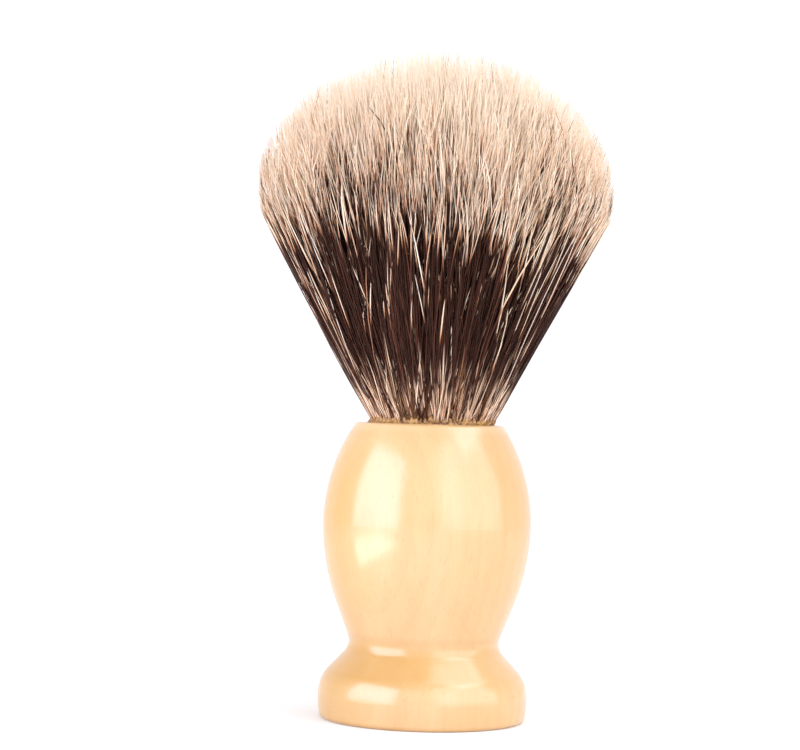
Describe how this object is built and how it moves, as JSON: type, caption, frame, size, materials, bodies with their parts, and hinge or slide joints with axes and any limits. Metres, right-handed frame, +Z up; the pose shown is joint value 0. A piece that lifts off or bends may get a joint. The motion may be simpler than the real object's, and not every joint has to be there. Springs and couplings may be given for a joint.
{
  "type": "shaving brush",
  "caption": "Shaving brush with a fan-shaped knot of banded animal hair glued into a flat rim on a turned, varnished wooden handle with a waist and a flared foot.",
  "frame": {"origin": "centre of the foot's flat base, on the surface the brush stands on", "axes": "+Z up the brush's axis from the foot to the tips of the hair; the brush is round about Z, so +X and +Y are free. +Y points away from the camera of the pictured view"},
  "size_m": [0.059, 0.059, 0.11],
  "materials": {
    "varnished_wood": "clear gloss varnish over pale straight-grained wood",
    "adhesive": "clear amber epoxy",
    "plug_resin": "cast resin",
    "thread": "waxed twisted cotton",
    "hair": "glossy animal hair, dark band with cream tips"
  },
  "bodies": {
    "handle_body": {"handle": "varnished_wood", "setting_adhesive": "adhesive", "knot_plug": "plug_resin", "binding_thread": "thread", "hair_roots": "hair"},
    "free_hair": {"hair_bloom": "hair"}
  },
  "joints": [
    {"name": "hair_bend", "type": "hinge", "parent": "handle_body", "child": "free_hair", "pos_m": [0, 0, 0.052], "axis": [0, 1, 0], "range_deg": [-20, 20], "stiffness_Nm_per_rad": 0.24}
  ]
}
